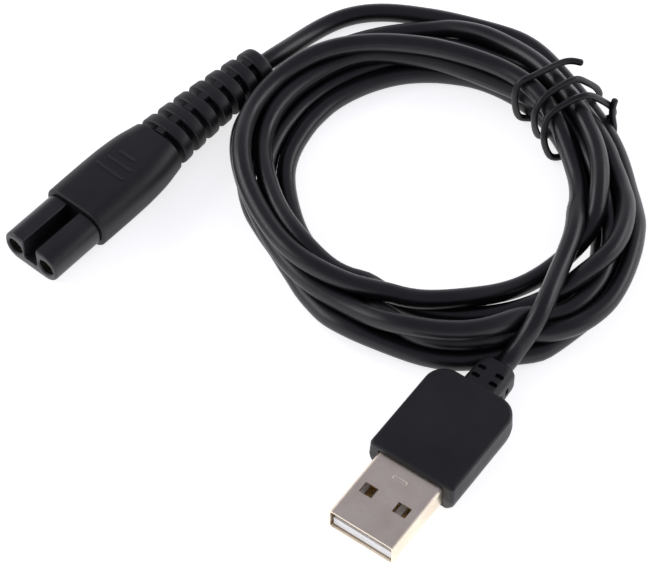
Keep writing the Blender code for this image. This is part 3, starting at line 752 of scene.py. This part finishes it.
# The turns, clockwise. Each station is an azimuth, a radius as seen down the line of sight, and a height.
TURNS = (
    (
        (45, 34.4, 1.65), (30, 33.1, 1.65), (20, 33.0, 1.65), (10, 33.0, 1.65), (0, 33.1, 1.7),
        (350, 33.6, 2.6), (340, 34.6, 3.8), (331, 35.2, 4.3), (320, 35.7, 4.3), (310, 36.0, 4.2),
        (300, 35.8, 3.8), (290, 34.4, 3.6), (280, 32.8, 3.8), (270, 31.3, 3.9), (263, 30.3, 3.7),
        (250, 28.3, 2.8), (240, 26.8, 2.2), (230, 25.5, 1.65), (211, 24.4, 1.65), (200, 24.2, 1.65),
        (190, 24.4, 1.65), (180, 24.7, 1.65), (170, 25.2, 1.65), (160, 26.0, 1.65), (150, 26.3, 1.65),
        (140, 26.6, 1.65), (130, 26.6, 1.65), (120, 26.7, 1.65), (110, 26.8, 1.65), (100, 26.95, 1.65),
    ),
    (
        (90, 27.0, 1.65), (80, 27.0, 1.65), (70, 26.8, 1.65), (60, 26.6, 1.65), (45, 26.2, 1.65),
        (30, 25.8, 1.65), (15, 25.6, 1.65), (0, 26.3, 1.65), (350, 28.7, 1.65), (340, 30.8, 1.65),
        (331, 31.6, 1.65), (320, 33.0, 1.65), (309, 33.0, 1.65), (295, 32.8, 1.65), (280, 32.2, 1.65),
        (270, 31.4, 1.65), (260, 30.3, 1.65), (252, 29.2, 1.65), (240, 28.0, 1.65), (225, 26.9, 3.0),
        (210, 26.2, 4.4), (200, 26.6, 4.0), (190, 27.2, 2.6), (180, 27.9, 1.65), (165, 28.3, 1.65),
        (150, 28.6, 1.65), (140, 28.8, 1.65), (130, 28.9, 1.65), (120, 29.1, 1.65), (110, 29.4, 1.65),
        (100, 29.8, 1.65),
    ),
    (
        (90, 30.3, 1.65), (75, 30.2, 1.65), (60, 29.9, 1.65), (45, 29.6, 1.65), (30, 29.3, 1.65),
        (15, 29.2, 1.65), (0, 29.8, 1.65), (345, 32.2, 1.65), (331, 34.6, 1.65), (320, 35.7, 1.65),
        (310, 36.2, 1.65), (300, 36.2, 1.65), (290, 35.9, 1.65), (280, 35.2, 1.65), (270, 34.5, 1.65),
        (260, 33.0, 1.65), (250, 31.5, 1.65), (240, 30.2, 1.65), (230, 29.1, 1.65), (220, 28.4, 1.65),
        (210, 28.0, 1.65), (195, 29.0, 1.65), (180, 31.2, 1.65), (165, 32.6, 1.65), (150, 32.4, 1.65),
        (135, 32.3, 1.65), (120, 32.4, 1.65), (105, 32.8, 1.65),
    ),
    (
        (90, 33.2, 1.65), (75, 32.9, 1.9), (60, 32.4, 3.2), (45, 31.8, 4.6), (30, 31.0, 4.6),
        (18, 30.3, 4.6), (10, 30.1, 4.6), (0, 30.5, 4.7), (350, 31.2, 5.4), (340, 31.65, 6.8),
        (331, 31.6, 7.3), (320, 30.8, 6.2), (310, 29.4, 4.4), (300, 28.4, 2.6), (290, 27.5, 1.8),
        (280, 26.5, 1.65), (270, 25.65, 1.65), (262, 25.0, 1.65), (250, 24.5, 2.4), (240, 24.2, 4.2),
        (230, 24.15, 6.0), (220, 23.95, 7.2), (210, 24.6, 7.4), (200, 25.55, 7.3), (190, 26.5, 7.2),
        (180, 27.95, 7.0), (170, 29.5, 6.0), (160, 30.9, 5.0), (150, 32.0, 4.6), (140, 32.5, 4.6),
        (130, 33.0, 4.6), (120, 32.9, 4.6), (110, 32.1, 4.6), (100, 30.6, 4.6),
    ),
    (
        (90, 29.3, 4.6), (80, 28.3, 4.6), (70, 27.6, 4.6), (60, 27.1, 4.6), (45, 26.9, 4.6),
        (30, 27.2, 4.6), (15, 27.5, 4.6), (5, 27.9, 4.6), (350, 29.2, 4.6), (340, 30.7, 4.6),
        (331, 31.5, 4.6), (325, 32.5, 4.6), (318, 33.3, 4.6), (310, 33.4, 4.6), (302, 33.0, 4.9),
        (290, 31.2, 5.6), (280, 29.9, 6.0), (270, 29.0, 5.8), (262, 28.4, 5.2), (250, 28.1, 4.8),
        (240, 28.0, 4.6), (230, 28.0, 4.6), (220, 28.1, 4.6), (210, 28.4, 4.6), (201, 28.7, 4.6),
        (190, 29.9, 4.5), (180, 31.4, 4.4), (165, 33.4, 3.6), (150, 34.1, 2.4), (138, 34.5, 1.65),
        (120, 35.8, 1.65), (110, 36.0, 1.65), (100, 36.0, 1.65),
    ),
    (
        (90, 36.1, 2.2), (80, 36.3, 3.6), (70, 35.8, 4.8), (60, 34.9, 5.4), (50, 33.6, 6.4),
        (42, 32.2, 7.0), (35, 31.2, 7.3), (30, 30.9, 7.3), (20, 29.4, 7.3), (10, 28.85, 7.3),
        (0, 28.0, 7.3), (350, 27.3, 7.0), (340, 26.6, 6.0), (330, 26.0, 4.6), (320, 25.4, 3.6),
        (310, 24.9, 3.0), (300, 24.3, 3.4), (290, 23.6, 4.2), (280, 23.2, 4.8), (270, 23.1, 4.9),
        (260, 23.2, 5.2), (250, 23.5, 5.8), (240, 24.15, 6.8), (230, 24.9, 7.6), (220, 25.9, 7.8),
        (210, 27.0, 7.8), (200, 28.3, 7.8), (190, 29.9, 7.7), (180, 31.7, 7.5), (170, 33.3, 7.0),
        (160, 34.7, 6.8), (150, 35.6, 6.8), (140, 36.0, 6.8), (130, 35.8, 6.8), (120, 35.2, 6.8),
        (110, 34.1, 7.0), (100, 32.9, 7.2),
    ),
    (
        (90, 31.8, 7.2), (80, 30.4, 7.2), (70, 29.8, 6.8), (60, 29.2, 6.2), (50, 28.4, 5.6),
        (40, 27.5, 5.2), (30, 26.6, 4.9), (20, 25.65, 4.8), (10, 24.85, 4.8), (0, 24.6, 5.0),
    ),
)
SIGHT = np.array([0.0, -cos(radians(VIEW_ELEVATION)), sin(radians(VIEW_ELEVATION))])
SIGHT_SLOPE = cos(radians(VIEW_ELEVATION)) / sin(radians(VIEW_ELEVATION))


def in_object(where, turn, point):
    return np.array(in_metres(where, turn, point)) / MM


def station_point(azimuth, seen_radius, height):
    """Where a station is: its radius is read where the line of sight meets the table's strands."""
    angle = radians(azimuth)
    radius = seen_radius - SIGHT_SLOPE * (height - CORD_RADIUS) * sin(angle)
    return (COIL_CENTRE[0] + radius * cos(angle), COIL_CENTRE[1] + radius * sin(angle), height)


def cord_route():
    """The cord's laid-out line, from inside the connector's boot to inside the USB boot."""
    start = [boot_bend((0.0, y, 0.0)) for y in (BOOT_MOUTH - 2.0, BOOT_MOUTH + 1.8)]
    points = [in_object(CONNECTOR_PLACE, CONNECTOR_TURN, point) for point in start]
    points += list(CONNECTOR_LEAD)
    points += [station_point(*station) for turn in TURNS for station in turn]
    points += list(USB_LEAD)
    points += [in_object(USB_PLACE, USB_TURN, (0.0, y, 0.0)) for y in (5.3, 3.3, 1.5)]
    return smooth_through(points, 6)


def nearest_on_line(points):
    """For every point and every stretch of the line, the vector from the stretch to the point."""
    starts = points[:-1]
    spans = points[1:] - starts
    offset = points[:, None, :] - starts[None]
    share = np.clip((offset * spans[None]).sum(2) / (spans * spans).sum(1)[None], 0.0, 1.0)
    return offset - share[..., None] * spans[None], share


def settle(points, step, rounds=320, hold=0.05, smooth=0.2):
    """Lets the laid-out cord settle: turns push each other apart, it stays smooth and lies on the table."""
    home = points.copy()
    count = len(points)
    rows = np.arange(count)[:, None]
    columns = np.arange(count - 1)[None]
    apart = np.abs(rows - columns - 0.5) > ceil(12.0 / step)
    fixed = np.zeros(count, bool)
    fixed[:3] = fixed[-3:] = True
    for _ in range(rounds):
        offset, share = nearest_on_line(points)
        distance = np.linalg.norm(offset, axis=2)
        overlap = np.where(apart & (distance < 2 * CORD_RADIUS), 2 * CORD_RADIUS - distance, 0.0)
        push = 0.25 * overlap[..., None] * offset / np.maximum(distance, 1e-6)[..., None]
        move = push.sum(1)
        move[:-1] -= (push * (1 - share)[..., None]).sum(0)
        move[1:] -= (push * share[..., None]).sum(0)
        away = home - points
        along_sight = (away @ SIGHT)[:, None] * SIGHT
        move += hold * (away - along_sight) + 0.01 * along_sight
        bend = np.zeros_like(points)
        bend[1:-1] = (points[:-2] + points[2:]) / 2 - points[1:-1]
        stiff = np.zeros_like(points)
        stiff[2:-2] = bend[2:-2] - (bend[1:-3] + bend[3:-1]) / 2
        move += smooth * stiff
        move[:, 2] -= 0.01
        move[fixed] = 0.0
        points = points + move
        points[:, 2] = np.maximum(points[:, 2], CORD_RADIUS + 0.02)
    return points


def make_cord(material):
    """The whole cord as one piece."""
    laid = resample(cord_route(), 3.0)
    settled = settle(laid, 3.0)
    line = resample(smooth_through(settled, 4), 1.25)
    cord = tube_mesh("cord", [Vector(p) for p in line], CORD_RADIUS, 24, oval=CORD_OVAL)
    place(cord, Matrix.Scale(MM, 4), material, 60.0)
    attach(cord, "cord")
    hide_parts("cord_connector_end", "cord_coil", "cord_usb_end")
    return settled


# ---- Twist tie ---------------------------------------------------------------------------------

TIE_RADIUS = 0.6
TIE_END_RISE = 0.4
# The free end that the wire starts with, outside the bundle's top
TIE_START = ((55.4, 44.4, 9.2), (52.6, 44.2, 9.8))
# The wraps: direction round the bundle in degrees (90 up, 180 to the coil's middle), azimuth, slack
TIE_WRAPS = (
    (95, 46.5, 0.1), (130, 49.0, 0.1), (180, 49.0, 0.1), (225, 46.0, 0.1), (270, 41.0, 0.0),
    (330, 36.5, 0.2), (375, 34.6, 1.1), (420, 35.4, 1.4), (460, 35.8, 0.3), (500, 35.2, 0.2),
    (540, 34.6, 0.3), (590, 34.0, 0.2), (640, 31.0, 0.0), (690, 28.5, 0.3), (735, 27.4, 1.2),
    (780, 27.6, 1.3), (820, 28.6, 0.3), (860, 28.0, 0.3), (900, 24.0, 0.5), (940, 20.5, 0.5),
    (980, 20.5, 0.0), (1030, 22.5, 0.0), (1070, 24.4, 0.2),
)
# The other free end, which sticks up beside the bundle
TIE_END = ((60.6, 37.4, 4.6), (61.0, 38.0, 6.6))


def bundle_at(line, azimuth):
    """(radius, height) of every strand of the coil at an azimuth."""
    angle = radians(azimuth)
    radial = np.array([cos(angle), sin(angle)])
    across = np.array([-sin(angle), cos(angle)])
    flat = line[:, :2] - np.array(COIL_CENTRE)
    side = flat @ across
    ahead = flat @ radial
    found = []
    for i in range(len(line) - 1):
        if side[i] * side[i + 1] <= 0 and ahead[i] > 0 and side[i] != side[i + 1]:
            t = side[i] / (side[i] - side[i + 1])
            radius = ahead[i] + t * (ahead[i + 1] - ahead[i])
            height = line[i, 2] + t * (line[i + 1, 2] - line[i, 2])
            found.append((radius, height))
    return found


def hull_point(strands, turn, clearance):
    """Where a wire drawn round the strands touches them, at a direction round the bundle."""
    def reach(angle):
        return max(r * cos(angle) + h * sin(angle) for r, h in strands) + CORD_RADIUS + clearance
    small = 0.15
    reaches = [reach(turn + k * small) for k in (-2, -1, 0, 1, 2)]
    value = 0.4 * reaches[2] + 0.2 * (reaches[1] + reaches[3]) + 0.1 * (reaches[0] + reaches[4])
    slope = (reaches[3] - reaches[1]) / (2 * small)
    r = value * cos(turn) - slope * sin(turn)
    h = value * sin(turn) + slope * cos(turn)
    return r, h


def make_tie(material, line):
    """Coated wire: a free end, three loose wraps round the bundle, and the other free end."""
    points = list(TIE_START)
    turns, azimuths, slacks = zip(*TIE_WRAPS)
    for turn in np.arange(turns[0], turns[-1] + 1.0, 12.0):
        azimuth = float(np.interp(turn, turns, azimuths))
        slack = float(np.interp(turn, turns, slacks))
        r, h = hull_point(bundle_at(line, azimuth), radians(turn), TIE_RADIUS + 0.1 + slack)
        angle = radians(azimuth)
        x = COIL_CENTRE[0] + r * cos(angle)
        y = COIL_CENTRE[1] + r * sin(angle)
        points.append((x, y, max(h, TIE_RADIUS + 0.05)))
    points += list(TIE_END)
    route = resample(smooth_through(points, 4), 0.6)
    for _ in range(4):
        route[1:-1] = 0.5 * route[1:-1] + 0.25 * (route[:-2] + route[2:])
    tie = tube_mesh("tie_wire", [Vector(p) for p in route], TIE_RADIUS, 12, end_rise=TIE_END_RISE)
    place(tie, Matrix.Scale(MM, 4), material, 60.0)
    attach(tie, "cord")
    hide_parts("twist_tie")


# ---- Nodes kept from the CAD -------------------------------------------------------------------

KEPT_NODES = {
    "connector_inner_mould": "natural",
    "usb_inner_mould": "natural",
    "usb_tongue": "insulator",
    "socket_sleeve_left": "brass",
    "socket_sleeve_right": "brass",
    "crimp_left": "brass",
    "crimp_right": "brass",
    "contact_leaf_left": "bronze",
    "contact_leaf_right": "bronze",
    "connector_core_black": "core_black",
    "connector_core_red": "core_red",
    "usb_core_black": "core_black",
    "usb_core_red": "core_red",
    "connector_jacket_end": "jacket",
    "usb_jacket_end": "jacket",
    "usb_contact_power": "gold",
    "usb_contact_data_minus": "gold",
    "usb_contact_data_plus": "gold",
    "usb_contact_ground": "gold",
    "solder_joint_black": "solder",
    "solder_joint_red": "solder",
}


def dress_kept_nodes(materials):
    for name, look in KEPT_NODES.items():
        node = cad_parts[name]
        for slot in node.material_slots:
            slot.material = materials[look]


# ---- Studio ------------------------------------------------------------------------------------


def make_camera():
    data = bpy.data.cameras.new("camera")
    data.sensor_width = 36.0
    data.lens = LENS
    data.clip_start = 0.01
    data.clip_end = 20.0
    camera = link("camera", data)
    camera.location = Vector(VIEW_TARGET) + Vector(SIGHT) * VIEW_DISTANCE
    camera.rotation_mode = "QUATERNION"
    camera.rotation_quaternion = Vector(-SIGHT).to_track_quat("-Z", "Y")
    bpy.context.scene.camera = camera


def make_floor():
    bm = bmesh.new()
    bmesh.ops.create_grid(bm, x_segments=1, y_segments=1, size=6.0)
    floor = mesh_object("floor", bm)
    n = Nodes("floor_white")
    n.two_tone(n.noise(3.0), (0.74, 0.74, 0.74), (0.76, 0.76, 0.76))
    n.set(Roughness=0.8, Specular_IOR_Level=0.2, Emission_Color=(1.0, 1.0, 1.0, 1.0), Emission_Strength=0.72)
    floor.data.materials.append(n.material)


def add_light(name, location, size, power, colour=(1.0, 1.0, 1.0)):
    """A large soft panel that faces the middle of the object."""
    data = bpy.data.lights.new(name, "AREA")
    data.shape = "RECTANGLE"
    data.size, data.size_y = size
    data.energy = power
    data.color = colour
    light = link(name, data)
    light.location = location
    light.rotation_mode = "QUATERNION"
    light.rotation_quaternion = (Vector(location) - Vector((0.02, 0.0, 0.0))).to_track_quat("Z", "Y")


def make_world():
    """Studio walls: bright round the horizon, dimmer overhead."""
    world = bpy.data.worlds.new("studio")
    world.use_nodes = True
    tree = world.node_tree
    background = tree.nodes["Background"]
    coordinates = tree.nodes.new("ShaderNodeTexCoord")
    split = tree.nodes.new("ShaderNodeSeparateXYZ")
    ramp = tree.nodes.new("ShaderNodeValToRGB")
    ends = ramp.color_ramp.elements
    ends[0].color = (1.08, 1.08, 1.12, 1.0)
    ends[1].color = (0.29, 0.29, 0.36, 1.0)
    for position, colour in ((0.15, (0.98, 0.98, 1.03)), (0.5, (0.37, 0.37, 0.45))):
        ends.new(position).color = (*colour, 1.0)
    tree.links.new(coordinates.outputs["Generated"], split.inputs[0])
    tree.links.new(split.outputs["Z"], ramp.inputs["Fac"])
    tree.links.new(ramp.outputs["Color"], background.inputs["Color"])
    background.inputs["Strength"].default_value = 1.0
    bpy.context.scene.world = world


def make_studio():
    bpy.context.scene.view_settings.view_transform = "Standard"
    make_camera()
    make_floor()
    make_world()
    add_light("left_panel", (-0.80, 0.25, 0.50), (0.9, 0.35), 3.2)
    add_light("right_panel", (0.85, 0.30, 0.45), (0.9, 0.30), 2.4)


def main():
    make_studio()
    materials = {**make_plastics(), **make_metals()}
    usb_pieces = make_usb(materials)
    line = make_cord(materials["cord"])
    make_connector(materials)
    make_tie(materials["tie"], line)
    dress_kept_nodes(materials)


main()
